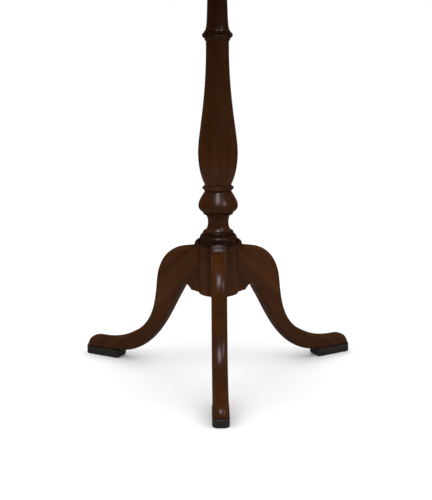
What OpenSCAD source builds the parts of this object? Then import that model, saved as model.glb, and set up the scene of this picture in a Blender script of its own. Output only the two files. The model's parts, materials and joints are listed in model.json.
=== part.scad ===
// Tilt top table: a round mahogany top that tips upright on a turned pillar with three cabriole legs.
// Origin: centre of the base on the floor. +Z up, one leg points along -Y, the top tilts about X.

/* [Overall] */
// Height from the floor to the polished surface
table_h = 720; // [660:1:870]
// Diameter of the round top
top_d = 520; // [500:1:640]
// Horizontal reach of a foot from the pillar's axis
leg_reach = 238; // [190:1:245]

/* [Top] */
// Thickness of the boards
top_t = 20; // [16:0.5:26]
// Width of the flat on top of the moulded edge, measured in from the rim
edge_flat = 5; // [3:0.5:9]
// Depth of the step under the moulded edge's flat
edge_step = 2; // [1:0.25:3]
// Radius of the rounding along the rim
edge_r = 7; // [4:0.5:8]

/* [Pillar] */
// Height of the pillar's foot above the floor
drum_z = 128.5; // [100:0.5:160]
// Diameter of the plain drum that takes the legs
drum_d = 60; // [52:1:76]
// Height of the plain drum
drum_h = 75.5; // [64:0.5:90]
// Largest diameter of the lower ball
ball_d = 59; // [48:1:66]
// Largest diameter of the vase
vase_d = 58.8; // [48:1:70]
// Smallest diameter of the neck between foot and ball
neck_d = 31.4; // [27:0.2:36]
// Diameter of the shaft under the collar
shaft_d = 33.6; // [28:0.2:38]
// Diameter of the collar bead
collar_d = 44.8; // [42:0.2:52]
// Diameter of the shaft at its thin top end
shaft_top_d = 28; // [27:0.2:32]
// Diameter of the tenon that passes up through the block
tenon_d = 26; // [22:0.5:26]

/* [Legs] */
// Thickness of the plank that a leg is cut from
leg_t = 23; // [19:0.5:28]
// Distance of the knee's front from the pillar's axis
knee_reach = 105.5; // [92:0.5:112]
// Height of the foot at the toe, above its pad
toe_h = 18; // [14:0.5:22]
// Length of the sliding dovetail into the drum
tail_l = 14; // [10:0.5:16]
// Width of the dovetail at the drum's surface
tail_neck_w = 12; // [9:0.5:13]
// Width of the dovetail at its inner end
tail_root_w = 17; // [14:0.5:18]

/* [Foot pads] */
// Thickness of the pad under each foot
pad_h = 12.5; // [9:0.5:15]
// Length of a pad
pad_l = 62; // [54:1:72]
// How far a pad stands out beyond the foot at the sides and toe
pad_lip = 0.8; // [0.4:0.1:1.5]

/* [Block and bearers] */
// Width of the block along the hinge axis
block_w = 130; // [100:1:170]
// Depth of the block from front to back
block_l = 120; // [100:1:150]
// Thickness of the block
block_t = 36; // [32:1:44]
// Thickness of each bearer along the hinge axis
bearer_w = 20; // [17:0.5:26]
// Height of each bearer
bearer_h = 28; // [26:0.5:34]
// Length of each bearer
bearer_l = 400; // [360:1:420]

/* [Hinge] */
// Distance from the underside of the top down to the hinge axis
pivot_drop = 16; // [13:0.5:20]
// Diameter of the pivot pins
pin_d = 8; // [6:0.5:9]
// Depth that a pin is driven into the block
pin_bite = 32; // [22:1:38]
// Diameter of a pin's head
pin_head_d = 14; // [12:0.5:16]

/* [Catch] */
// Travel of the catch bolt
bolt_travel = 9; // [7:0.5:10]
// Width of the catch bolt
bolt_w = 15; // [12:0.5:18]
// Thickness of the catch bolt
bolt_t = 5; // [4:0.25:6]
// Diameter of the knob under the catch
knob_d = 13; // [11:0.5:16]

/* [Hidden] */

// clearances
glue_gap = 0.1;       // between a tenon or tail and what it is glued into
seat_gap = 0.3;       // under the closed top, all round the rounded edge of the block
side_gap = 0.5;       // between the block and each bearer
pin_clear = 0.05;     // radial, pin in bearer
slide_gap = 0.2;      // around the catch bolt
eps = 0.01;           // overshoot of a cut past the face that it opens

// colours
mahogany = [0.28, 0.14, 0.07];
mahogany_dark = [0.17, 0.08, 0.05];
pad_black = [0.10, 0.08, 0.07];
iron = [0.16, 0.16, 0.17];
steel = [0.62, 0.62, 0.60];
brass = [0.78, 0.60, 0.28];

leg_turns = [-90, 30, 150];                    // front, right, left
drum_r = drum_d / 2;
drum_top = drum_z + drum_h;
underside_z = table_h - top_t;
block_top = underside_z - seat_gap;
block_z = block_top - block_t;
pivot_z = underside_z - pivot_drop;
block_edge_r = pivot_drop - seat_gap;          // rounded upper front edge, about the hinge axis
pivot_y = -block_l / 2 + pivot_drop;
block_front = pivot_y - block_edge_r;
block_back = block_l / 2;
bearer_x = block_w / 2 + side_gap;             // inner face of a bearer

// ---- curves

function bezier(a, b, c, d, n = 14) = [for (i = [0:n]) let (t = i / n, s = 1 - t)
    s * s * s * a + 3 * s * s * t * b + 3 * s * t * t * c + t * t * t * d];

function arc(centre, r, from, to, n = 10) = [for (i = [0:n]) let (w = from + (to - from) * i / n)
    centre + r * [cos(w), sin(w)]];

// ---- screws

screw_head_r = 3.5;
screw_shank_r = 1.8;
screw_head_h = 2;
screw_point_h = 4;
screw_slot = 0.9;                              // width and depth of the slot across a head

// A countersunk wood screw. Its head lies at z = 0 and its point is up at z = l.
module screw_body(l, head_r = screw_head_r, shank_r = screw_shank_r) {
    rotate_extrude($fn = 40) polygon([[0, 0], [head_r, 0], [shank_r, screw_head_h],
        [shank_r, l - screw_point_h], [0, l]]);
}

module screw(l, head_r = screw_head_r, shank_r = screw_shank_r) difference() {
    screw_body(l, head_r, shank_r);
    translate([-head_r - eps, -screw_slot / 2, -eps]) cube([2 * (head_r + eps), screw_slot, screw_slot]);
}

// ---- pillar

pillar_l = block_z - drum_top;                 // turned length above the drum
neck_z = drum_top + 0.072 * pillar_l;
ball_z = drum_top + 0.129 * pillar_l;
ring_z = drum_top + 0.187 * pillar_l;
vase_z = drum_top + 0.302 * pillar_l;
collar_z = drum_top + 0.677 * pillar_l;
ring_r = ball_d / 2 - 6;                       // sharp ring between ball and vase
waist_r = ring_r - 4;                          // either side of the sharp ring
neck_r = neck_d / 2;

// Bead, torus and small bead that crown the drum
foot_moulding = concat(
    [[drum_r - 1.2, drum_top - 1.2], [drum_r - 2.4, drum_top - 0.4], [drum_r - 3.2, drum_top + 2]],
    arc([drum_r - 4.2, drum_top + 4.3], 2, -80, 80),
    [[drum_r - 3.6, drum_top + 6.6]],
    arc([drum_r - 9.5, drum_top + 9.2], 7.5, -18, 68),
    arc([drum_r - 9.2, drum_top + 18.6], 2.1, -66, 80));

// Hollow neck, then a thin fillet under the ball
neck_curve = concat(
    bezier([drum_r - 10.6, drum_top + 21.6], [neck_r - 1.8, neck_z - 6], [neck_r - 1.4, neck_z + 6.5],
        [neck_r + 2.8, neck_z + 12.2]),
    [[neck_r + 5, neck_z + 13]],
    arc([neck_r + 5.4, neck_z + 14.6], 1.3, -70, 70, 6));

ball_curve = concat(
    bezier([neck_r + 6.2, ball_z - 9.6], [ball_d / 2 - 3.4, ball_z - 8.4], [ball_d / 2, ball_z - 5],
        [ball_d / 2, ball_z]),
    bezier([ball_d / 2, ball_z], [ball_d / 2, ball_z + 7.3], [ball_d / 2 - 7, ball_z + 16.3],
        [waist_r, ring_z - 4.4]),
    arc([ring_r - 1, ring_z], 1, -50, 50, 6));

vase_curve = concat(
    bezier([waist_r - 0.1, ring_z + 4.6], [waist_r + 4.7, ring_z + 13], [vase_d / 2 - 0.1, ring_z + 30],
        [vase_d / 2, vase_z]),
    bezier([vase_d / 2, vase_z], [vase_d / 2, vase_z + 0.063 * pillar_l],
        [shaft_d / 2 - 0.3, vase_z + 0.167 * pillar_l], [shaft_d / 2, collar_z - 12], 28));

collar_curve = concat(
    [[shaft_d / 2 + 0.2, collar_z - 8], [collar_d / 2 - 3.9, collar_z - 7.6],
        [collar_d / 2 - 3.8, collar_z - 5.2], [collar_d / 2 - 2.6, collar_z - 4]],
    arc([collar_d / 2 - 4.2, collar_z], 4.2, -60, 66),
    [[collar_d / 2 - 3.2, collar_z + 4.2], [collar_d / 2 - 3.2, collar_z + 5.8]],
    bezier([collar_d / 2 - 3.9, collar_z + 6.2], [shaft_top_d / 2 + 1.6, collar_z + 9.3],
        [shaft_top_d / 2 + 1.3, collar_z + 22.8], [shaft_top_d / 2 + 0.6, collar_z + 48]));

capital_r = shaft_top_d / 2 + 8;
capital_curve = concat(
    bezier([shaft_top_d / 2, block_z - 42], [shaft_top_d / 2, block_z - 30],
        [shaft_top_d / 2 + 0.6, block_z - 21], [capital_r - 4, block_z - 17]),
    [[capital_r - 3, block_z - 17]],
    arc([capital_r - 3.4, block_z - 13.4], 3, -70, 70),
    [[capital_r - 3, block_z - 9.8], [capital_r - 3, block_z - 8.4]],
    bezier([capital_r - 3, block_z - 8.4], [capital_r - 2.2, block_z - 5], [capital_r, block_z - 4.6],
        [capital_r, block_z - 2], 6),
    [[capital_r, block_z]]);

wedge_t = 3;                                   // wedge in the tenon's kerf, at the top
wedge_point_t = 1;                             // and at its lower edge
wedge_depth = 0.7 * block_t;
wedge_w = tenon_d - 1;

tail_reach = 2;                                // how far the tail's outline runs on into the leg
tail_taper = (tail_root_w - tail_neck_w) / 2 / tail_l;

function tail_outline(gap) = let (
        inner = drum_r - tail_l - gap,
        root = tail_root_w / 2 + gap,
        neck = tail_neck_w / 2 - tail_reach * tail_taper + gap)
    [[inner, -root], [drum_r + tail_reach, -neck], [drum_r + tail_reach, neck], [inner, root]];

tail_h = drum_h - 12;                          // the tail stops short of the moulding

module pillar() color(mahogany_dark) {
    difference() {
        union() {
            rotate_extrude($fn = 96) polygon(concat(
                [[0, drum_z], [drum_r - 1.5, drum_z], [drum_r, drum_z + 1.5]],
                foot_moulding, neck_curve, ball_curve, vase_curve, collar_curve, capital_curve,
                [[0, block_z]]));
            translate([0, 0, block_z - 1]) cylinder(h = block_t + 1, d = tenon_d, $fn = 64);
        }
        for (turn = leg_turns) rotate(turn) translate([0, 0, drum_z - eps])
            linear_extrude(tail_h + glue_gap + eps) polygon(tail_outline(glue_gap));
        tenon_kerf();
        spider_holes();
    }
}

module kerf_outline() polygon([[-wedge_point_t / 2, 0], [wedge_point_t / 2, 0],
    [wedge_t / 2, wedge_depth], [-wedge_t / 2, wedge_depth]]);

module tenon_kerf() translate([0, 0, block_top - wedge_depth]) rotate([90, 0, 90])
    linear_extrude(tenon_d + 2, center = true) kerf_outline();

module tenon_wedge() color(mahogany) translate([0, 0, block_top - wedge_depth]) rotate([90, 0, 90])
    linear_extrude(wedge_w, center = true) kerf_outline();

// ---- legs

leg_span = leg_reach - drum_r;
leg_top = drum_top + 6;                        // the leg's upper tip laps the moulding
shelf_l = 11;                                  // flat under the leg beside the drum
pad_heel = leg_reach - pad_l;
toe_r = leg_reach - pad_lip;
instep_z = pad_h + toe_h;

// A point of the shin or foot: u runs from the drum to the toe, v from the floor to the drum
function shin(u, v) = [drum_r + u * leg_span, v * drum_z];

leg_outline = concat(
    [[drum_r - 6, leg_top]],
    bezier([drum_r + 3, leg_top], [drum_r + 6, leg_top - 7.4], [drum_r + 7, leg_top - 11.2],
        [drum_r + 13.5, leg_top - 12], 8),
    bezier([knee_reach - 47.5, leg_top - 14.8], [knee_reach - 22, leg_top - 19],
        [knee_reach - 4, leg_top - 37], [knee_reach, drum_z + 11]),
    bezier([knee_reach, drum_z + 11], [knee_reach + 3.5, 0.808 * drum_z], shin(0.4, 0.51),
        shin(0.583, 0.36), 18),
    bezier(shin(0.583, 0.36), shin(0.66, 0.288), [toe_r - 54, instep_z + 1],
        [toe_r - 30, instep_z]),
    bezier([toe_r - 22, instep_z], [toe_r - 10, instep_z], [toe_r - 1.5, instep_z - 6], [toe_r, pad_h]),
    [[pad_heel + 2, pad_h]],
    bezier([pad_heel + 1, pad_h + 1.2], shin(0.451, 0.087), shin(0.315, 0.511), shin(0.212, 0.823), 22),
    bezier([drum_r + shelf_l + 21, drum_z - 1.5], [drum_r + shelf_l + 15, drum_z + 13],
        [drum_r + shelf_l + 8, drum_z + 11], [drum_r + shelf_l, drum_z]),
    [[drum_r - 6, drum_z]]);

// Plan of a foot: the toe's corners are rounded
module foot_plan(w, reach) {
    toe_corner = 0.36 * w;
    translate([0, -w / 2]) square([reach - toe_corner, w]);
    translate([reach - 3 * toe_corner, toe_corner - w / 2]) square([3 * toe_corner, w - 2 * toe_corner]);
    for (side = [-1, 1]) translate([reach - toe_corner, side * (w / 2 - toe_corner)])
        circle(toe_corner, $fn = 48);
}

// A leg along +X, before it is turned to its place
module leg_shape() difference() {
    union() {
        difference() {
            intersection() {
                rotate([90, 0, 0]) linear_extrude(leg_t, center = true) polygon(leg_outline);
                linear_extrude(leg_top + 1) foot_plan(leg_t, toe_r);
            }
            translate([0, 0, drum_z - 1]) cylinder(h = drum_h + 10, r = drum_r + glue_gap, $fn = 96);
        }
        translate([0, 0, drum_z]) linear_extrude(tail_h) polygon(tail_outline(0));
    }
    translate([spider_screw_r, 0, drum_z - spider_t]) screw_body(spider_screw_l);
}

module leg(turn) color(mahogany) rotate(turn) leg_shape();
module leg_front() leg(leg_turns[0]);
module leg_right() leg(leg_turns[1]);
module leg_left() leg(leg_turns[2]);

// ---- foot pads

heel_rise = 3;                                 // the pad's heel is bevelled from here
heel_run = 2;

module foot_pad(turn) color(pad_black) rotate(turn) intersection() {
    rotate([90, 0, 0]) linear_extrude(leg_t + 2 * pad_lip, center = true) polygon([
        [pad_heel, pad_h], [pad_heel, heel_rise], [pad_heel + heel_run, 0], [leg_reach, 0],
        [leg_reach, pad_h]]);
    linear_extrude(pad_h) foot_plan(leg_t + 2 * pad_lip, leg_reach);
}

module foot_pad_front() foot_pad(leg_turns[0]);
module foot_pad_right() foot_pad(leg_turns[1]);
module foot_pad_left() foot_pad(leg_turns[2]);

// ---- iron plate that ties the legs to the drum

spider_t = 2;
spider_hub_r = 20;
spider_arm_w = 12;
spider_screw_r = drum_r + 4;
spider_screw_l = 20;

module spider_holes() {
    translate([0, 0, drum_z - spider_t]) screw_body(spider_screw_l);
    for (turn = leg_turns) rotate(turn) translate([spider_screw_r, 0, drum_z - spider_t])
        screw_body(spider_screw_l);
}

module spider_plate() color(iron) difference() {
    translate([0, 0, drum_z - spider_t]) linear_extrude(spider_t) {
        circle(spider_hub_r, $fn = 64);
        for (turn = leg_turns) rotate(turn) {
            translate([0, -spider_arm_w / 2]) square([spider_screw_r, spider_arm_w]);
            translate([spider_screw_r, 0]) circle(d = spider_arm_w, $fn = 32);
        }
    }
    spider_holes();
}

module spider_screws() color(steel) {
    translate([0, 0, drum_z - spider_t]) screw(spider_screw_l);
    for (turn = leg_turns) rotate(turn) translate([spider_screw_r, 0, drum_z - spider_t])
        screw(spider_screw_l);
}

// ---- block

block_bevel_in = 14;                           // bevel round the underside of the block
block_bevel_up = 10;
keeper_w = 34;
keeper_h = 15;
keeper_t = 2;
keeper_screw_x = keeper_w / 2 - 4.5;
keeper_screw_l = 14;
bolt_z = underside_z - 8.5;                    // middle of the catch bolt
slot_w = bolt_w + 1.4;
slot_h = bolt_t + 0.9;
slot_depth = bolt_travel + 3;

function bevelled(half, low, high) = [[half - block_bevel_in, low], [half, low + block_bevel_up],
    [half, high], [-half, high], [-half, low + block_bevel_up], [block_bevel_in - half, low]];

module keeper_outline(depth) translate([-keeper_w / 2, block_back - depth, bolt_z - keeper_h / 2])
    cube([keeper_w, depth, keeper_h]);

module keeper_mortise() translate([-slot_w / 2, block_back - slot_depth, bolt_z - slot_h / 2])
    cube([slot_w, slot_depth + eps, slot_h]);

module keeper_screw_places() for (side = [-1, 1])
    translate([side * keeper_screw_x, block_back, bolt_z]) rotate([90, 0, 0]) children();

module block() color(mahogany) difference() {
    intersection() {
        union() {
            translate([-block_w / 2, pivot_y, block_z]) cube([block_w, block_back - pivot_y, block_t]);
            translate([-block_w / 2, block_front, block_z])
                cube([block_w, block_edge_r + 1, pivot_z - block_z]);
            translate([0, pivot_y, pivot_z]) rotate([0, 90, 0])
                cylinder(h = block_w, r = block_edge_r, center = true, $fn = 96);
        }
        rotate([90, 0, 0]) linear_extrude(block_l + 2, center = true)
            polygon(bevelled(block_w / 2, block_z, block_top));
        rotate([90, 0, 90]) linear_extrude(block_w + 2, center = true)
            polygon(bevelled(block_l / 2, block_z, block_top));
    }
    translate([0, 0, block_z - 1]) cylinder(h = block_t + 2, d = tenon_d, $fn = 64);
    for (side = [-1, 1]) translate([side * (block_w / 2 - pin_bite), pivot_y, pivot_z])
        rotate([0, 90 * side, 0]) cylinder(h = pin_bite + 1, d = pin_d, $fn = 48);
    keeper_outline(keeper_t + eps);
    keeper_mortise();
    keeper_screw_places() screw_body(keeper_screw_l);
}

// ---- hinge pins

pin_head_t = 3;
pin_slot_w = 1.6;
pin_slot_depth = 1.2;
pin_head_x = bearer_x + bearer_w + seat_gap;   // inner face of a pin's head

module pivot_pin() color(steel) translate([0, pivot_y, pivot_z]) rotate([0, 90, 0]) difference() {
    union() {
        translate([0, 0, block_w / 2 - pin_bite])
            cylinder(h = pin_head_x + 1 - block_w / 2 + pin_bite, d = pin_d, $fn = 48);
        translate([0, 0, pin_head_x]) cylinder(h = pin_head_t, d = pin_head_d, $fn = 48);
    }
    translate([-pin_head_d, -pin_slot_w / 2, pin_head_x + pin_head_t - pin_slot_depth])
        cube([2 * pin_head_d, pin_slot_w, pin_slot_depth + eps]);
}

module pivot_pin_right() pivot_pin();
module pivot_pin_left() mirror([1, 0, 0]) pivot_pin();

// ---- keeper plate let into the back of the block

module keeper_plate() color(brass) difference() {
    keeper_outline(keeper_t);
    keeper_mortise();
    keeper_screw_places() screw_body(keeper_screw_l);
}

module keeper_screws() color(brass) keeper_screw_places() screw(keeper_screw_l);

// ---- top

top_r = top_d / 2;
board_l = top_d / 3;                           // three boards side by side, front to back
under_round = 4;

edge_profile = concat(
    [[0, underside_z], [top_r - under_round - 3, underside_z]],
    arc([top_r - under_round - 3, underside_z + under_round + 1], under_round + 1, -90, -40, 6),
    arc([top_r - edge_r, table_h - edge_step - edge_r], edge_r, -30, 90, 12),
    [[top_r - edge_r - edge_flat + 3, table_h - edge_step], [top_r - edge_r - edge_flat + 2.6, table_h],
        [0, table_h]]);

bearer_screw_y = [-0.82 * bearer_l / 2, -0.45 * bearer_l / 2, 0.35 * bearer_l / 2, 0.82 * bearer_l / 2];
bearer_screw_bite = 13;                        // into the boards
bearer_screw_sink = 5;                         // head below the bearer's lower face
bearer_screw_l = bearer_h - bearer_screw_sink + bearer_screw_bite;
bearer_screw_head_r = 4.2;
bearer_screw_shank_r = 2.2;

module bearer_screw_places() for (side = [-1, 1], y = bearer_screw_y)
    translate([side * (bearer_x + bearer_w / 2), y, underside_z - bearer_h + bearer_screw_sink])
        children();

module top_board(number) color(mahogany) difference() {
    intersection() {
        rotate_extrude($fn = 180) polygon(edge_profile);
        translate([-top_r - 1, -top_r + number * board_l - (number == 0 ? 1 : 0), underside_z - 1])
            cube([top_d + 2, board_l + (number == 1 ? 0 : 1), top_t + 2]);
    }
    bearer_screw_places() screw_body(bearer_screw_l, bearer_screw_head_r, bearer_screw_shank_r);
    catch_screw_places() screw_body(catch_screw_l);
}

module top_board_front() top_board(0);
module top_board_middle() top_board(1);
module top_board_back() top_board(2);

// ---- bearers

bearer_tip_h = 11;                             // height left at each end of a bearer
bearer_taper_l = 70;

bearer_outline = let (half = bearer_l / 2, low = underside_z - bearer_h) concat(
    [[-half, underside_z], [-half, underside_z - bearer_tip_h]],
    bezier([-half, underside_z - bearer_tip_h], [-half + 0.35 * bearer_taper_l, underside_z - bearer_tip_h],
        [-half + 0.6 * bearer_taper_l, low], [-half + bearer_taper_l, low]),
    bezier([half - bearer_taper_l, low], [half - 0.6 * bearer_taper_l, low],
        [half - 0.35 * bearer_taper_l, underside_z - bearer_tip_h], [half, underside_z - bearer_tip_h]),
    [[half, underside_z]]);

module bearer_right() color(mahogany_dark) difference() {
    translate([bearer_x, 0, 0]) rotate([90, 0, 90]) linear_extrude(bearer_w) polygon(bearer_outline);
    translate([bearer_x - 1, pivot_y, pivot_z]) rotate([0, 90, 0])
        cylinder(h = bearer_w + 2, r = pin_d / 2 + pin_clear, $fn = 48);
    bearer_screw_places() {
        screw_body(bearer_screw_l, bearer_screw_head_r, bearer_screw_shank_r);
        translate([0, 0, -bearer_screw_sink - 1])
            cylinder(h = bearer_screw_sink + 1, r = bearer_screw_head_r, $fn = 40);
    }
}

module bearer_left() mirror([1, 0, 0]) bearer_right();

module bearer_screws() color(steel) bearer_screw_places()
    screw(bearer_screw_l, bearer_screw_head_r, bearer_screw_shank_r);

// ---- catch

catch_y = block_back + 3;                      // front of the catch, behind the block
catch_plate_w = 38;
catch_plate_l = 66;
catch_plate_t = 2;
catch_screw_l = 12;
catch_screw_in = 5.5;                          // screw centres in from the plate's edges
case_wall = 2;
case_l = 46;
case_w = bolt_w + 6 + 2 * case_wall;
case_low = bolt_z - bolt_t / 2 - slide_gap - case_wall;
case_high = underside_z - catch_plate_t;
bolt_tip_y = catch_y - 1;                      // drawn back, clear of the block
bolt_collar_l = 9;                             // broad rear end, which stops against the case
bolt_collar_w = bolt_w + 4;
bolt_collar_y = catch_y + case_wall + bolt_travel + seat_gap;
bolt_rear_y = bolt_collar_y + bolt_collar_l;
stem_d = 5;
stem_y = bolt_rear_y - bolt_collar_l / 2;
knob_neck = 5;                                 // from the case down to the knob's ball

module catch_screw_places() for (side = [-1, 1], y = [catch_screw_in, catch_plate_l - catch_screw_in])
    translate([side * (catch_plate_w / 2 - catch_screw_in), catch_y + y, underside_z - catch_plate_t])
        children();

module catch_plate() color(brass) difference() {
    translate([-catch_plate_w / 2, catch_y, underside_z - catch_plate_t])
        cube([catch_plate_w, catch_plate_l, catch_plate_t]);
    catch_screw_places() screw_body(catch_screw_l);
}

module catch_screws() color(brass) catch_screw_places() screw(catch_screw_l);

module catch_case() color(brass) difference() {
    translate([-case_w / 2, catch_y, case_low]) cube([case_w, case_l, case_high - case_low]);
    translate([case_wall - case_w / 2, catch_y + case_wall, case_low + case_wall])
        cube([case_w - 2 * case_wall, case_l - 2 * case_wall, case_high - case_low]);
    // mouth for the bolt, and the slot that the knob's stem slides in
    translate([-bolt_w / 2 - slide_gap, catch_y - 1, bolt_z - bolt_t / 2 - slide_gap])
        cube([bolt_w + 2 * slide_gap, case_wall + 2, bolt_t + 2 * slide_gap]);
    translate([-stem_d / 2 - slide_gap, stem_y - bolt_travel - stem_d / 2 - slide_gap, case_low - 1])
        cube([stem_d + 2 * slide_gap, bolt_travel + stem_d + 2 * slide_gap, case_wall + 2]);
}

// The bolt is drawn back here. It shoots towards the block, and its underside is bevelled at the tip.
module catch_bolt() color(brass) difference() {
    union() {
        translate([-bolt_w / 2, bolt_tip_y, bolt_z - bolt_t / 2])
            cube([bolt_w, bolt_rear_y - bolt_tip_y, bolt_t]);
        translate([-bolt_collar_w / 2, bolt_collar_y, bolt_z - bolt_t / 2])
            cube([bolt_collar_w, bolt_collar_l, bolt_t]);
    }
    translate([0, bolt_tip_y, bolt_z - bolt_t / 2]) rotate([90, 0, 90])
        linear_extrude(bolt_w + 2, center = true) polygon([[-1, -1], [bolt_t + 0.5, -1], [-1, bolt_t + 0.5]]);
    translate([0, stem_y, bolt_z - bolt_t]) cylinder(h = 2 * bolt_t, d = stem_d - 1, $fn = 48);
}

module catch_knob() color(brass) translate([0, stem_y, 0]) {
    ball_low = case_low - knob_neck - knob_d;
    rotate_extrude($fn = 48) polygon(concat(
        [[0, ball_low]],
        arc([0, ball_low + knob_d / 2], knob_d / 2, -80, 62, 16),
        [[stem_d / 2 - 0.4, case_low - knob_neck + 0.6], [stem_d / 2 - 0.4, case_low - 2.6],
            [stem_d / 2 + 1, case_low - 2], [stem_d / 2 + 1, case_low - 1], [stem_d / 2, case_low - 0.6],
            [stem_d / 2, bolt_z - bolt_t / 2], [(stem_d - 1) / 2, bolt_z - bolt_t / 2],
            [(stem_d - 1) / 2, bolt_z + bolt_t / 2 + 0.6], [0, bolt_z + bolt_t / 2 + 0.6]]));
}

spring_wire = 0.8;
spring_r = 2.3;                                // to the middle of the wire
spring_turns = 9;
spring_steps = 16;                             // rings of points in each turn
spring_sides = 8;
spring_front = bolt_rear_y + spring_wire / 2 + 0.1;
spring_back = catch_y + case_l - case_wall - spring_wire / 2 - 0.1;

// Middle of the wire at turn a (in degrees), coiled round the Y axis
function coil_point(a) = [spring_r * cos(a), spring_front + (spring_back - spring_front) * a
    / (360 * spring_turns), bolt_z + spring_r * sin(a)];

function coil_ring(a) = [for (k = [0:spring_sides - 1]) let (w = 360 * k / spring_sides)
    coil_point(a) + spring_wire / 2 * [cos(w) * cos(a), sin(w), cos(w) * sin(a)]];

module catch_spring() color(steel) {
    rings = spring_turns * spring_steps;
    polyhedron(
        points = [for (i = [0:rings]) each coil_ring(360 * i / spring_steps)],
        faces = concat(
            [[for (k = [0:spring_sides - 1]) k]],
            [for (i = [0:rings - 1], k = [0:spring_sides - 1]) let (m = (k + 1) % spring_sides)
                [i * spring_sides + k, (i + 1) * spring_sides + k, (i + 1) * spring_sides + m,
                    i * spring_sides + m]],
            [[for (k = [0:spring_sides - 1]) (rings + 1) * spring_sides - 1 - k]]));
}

pillar();
leg_front();
leg_right();
leg_left();
foot_pad_front();
foot_pad_right();
foot_pad_left();
spider_plate();
spider_screws();
block();
tenon_wedge();
pivot_pin_left();
pivot_pin_right();
keeper_plate();
keeper_screws();
top_board_front();
top_board_middle();
top_board_back();
bearer_left();
bearer_right();
bearer_screws();
catch_plate();
catch_case();
catch_screws();
catch_spring();
catch_bolt();
catch_knob();
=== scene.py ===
import json
import math

import bmesh
import bpy
from mathutils import Matrix, Vector


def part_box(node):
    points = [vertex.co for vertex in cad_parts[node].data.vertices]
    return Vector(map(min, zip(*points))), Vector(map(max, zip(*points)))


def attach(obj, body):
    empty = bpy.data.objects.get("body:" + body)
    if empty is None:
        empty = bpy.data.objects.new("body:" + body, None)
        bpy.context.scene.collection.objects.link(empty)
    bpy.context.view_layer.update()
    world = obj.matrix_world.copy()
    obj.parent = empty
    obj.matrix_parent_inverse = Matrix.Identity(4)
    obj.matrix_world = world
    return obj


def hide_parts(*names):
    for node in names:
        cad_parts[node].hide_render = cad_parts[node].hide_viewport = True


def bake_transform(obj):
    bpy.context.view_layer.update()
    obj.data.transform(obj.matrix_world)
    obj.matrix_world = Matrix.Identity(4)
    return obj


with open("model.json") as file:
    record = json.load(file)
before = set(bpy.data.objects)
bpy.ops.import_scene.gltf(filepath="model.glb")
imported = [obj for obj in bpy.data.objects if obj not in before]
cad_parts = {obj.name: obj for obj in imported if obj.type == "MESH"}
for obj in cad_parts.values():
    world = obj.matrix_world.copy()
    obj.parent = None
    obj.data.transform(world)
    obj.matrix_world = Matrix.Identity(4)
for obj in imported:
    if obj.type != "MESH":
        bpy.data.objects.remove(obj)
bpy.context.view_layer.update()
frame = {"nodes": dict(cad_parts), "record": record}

mm = 0.001
bodies = frame["record"]["behaviour"]["bodies"]


def lowest(node, axis):  # in mm
    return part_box(node)[0][axis] / mm


def highest(node, axis):
    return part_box(node)[1][axis] / mm


# the camera stands in front and sees the lower part of the table
view = {
    "lens": 107.8,  # mm, on a 36 mm sensor
    "distance": 2.246,  # metres from the point looked at
    "target": (-0.0035, 0, 0.1944),
    "pitch": 13.9,  # degrees down
    "turn": -0.57,  # degrees round the column
    "roll": -0.28,  # degrees about the line of sight
}


def placeCamera():
    data = bpy.data.cameras.new("camera")
    data.lens = view["lens"]
    camera = bpy.data.objects.new("camera", data)
    bpy.context.scene.collection.objects.link(camera)
    camera.matrix_world = (
        Matrix.Rotation(math.radians(view["turn"]), 4, "Z")
        @ Matrix.Translation(view["target"])
        @ Matrix.Rotation(math.radians(90 - view["pitch"]), 4, "X")
        @ Matrix.Rotation(math.radians(view["roll"]), 4, "Z")
        @ Matrix.Translation((0, 0, view["distance"]))
    )
    bpy.context.scene.camera = camera


studio = {
    "floorRadius": 0.85,
    "floorColour": (0.86, 0.86, 0.86, 1),
    "floorRoughness": 0.9,
    "floorGloss": 0.1,
    "floorFaint": 0.85,  # share of the floor that the polish doesn't mirror
    "sunStrength": 4.45,
    "sunSpread": 125,  # degrees, so that shadows stay soft
    "surround": (0.02, 0.0195, 0.021, 1),  # what the polish mirrors where there is no lamp
    "lampsAim": (0, 0, 0.3),  # the point that every lamp faces
    # name: degrees round from the front, degrees up, distance, width, length, power, colour
    "lamps": {
        "leftWindow": (-3, 48, 2.6, 0.9, 1.3, 50, (0.95, 0.88, 1.0)),
        "rightWindow": (42, 29, 2.6, 0.3, 0.8, 16, (0.97, 0.85, 0.95)),
        "leftSide": (-85, 22, 2.6, 1.2, 1.2, 0.6, (1.0, 0.97, 0.93)),
        "rightSide": (85, 22, 2.6, 1.2, 1.2, 0.6, (0.97, 0.96, 1.0)),
        "leftRim": (-140, 14, 2.4, 0.7, 1.6, 1, (1.0, 0.97, 0.93)),
        "rightRim": (142, 14, 2.4, 0.7, 1.6, 1, (0.97, 0.96, 1.0)),
    },
    "fills": {  # the same, for lamps that only brighten the sides of the base
        "leftFill": (-76, 6, 1.4, 0.8, 0.5, 3, (1.0, 0.97, 0.93)),
        "rightFill": (78, 6, 1.4, 0.8, 0.5, 2.6, (1.0, 0.97, 0.95)),
    },
}


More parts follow.
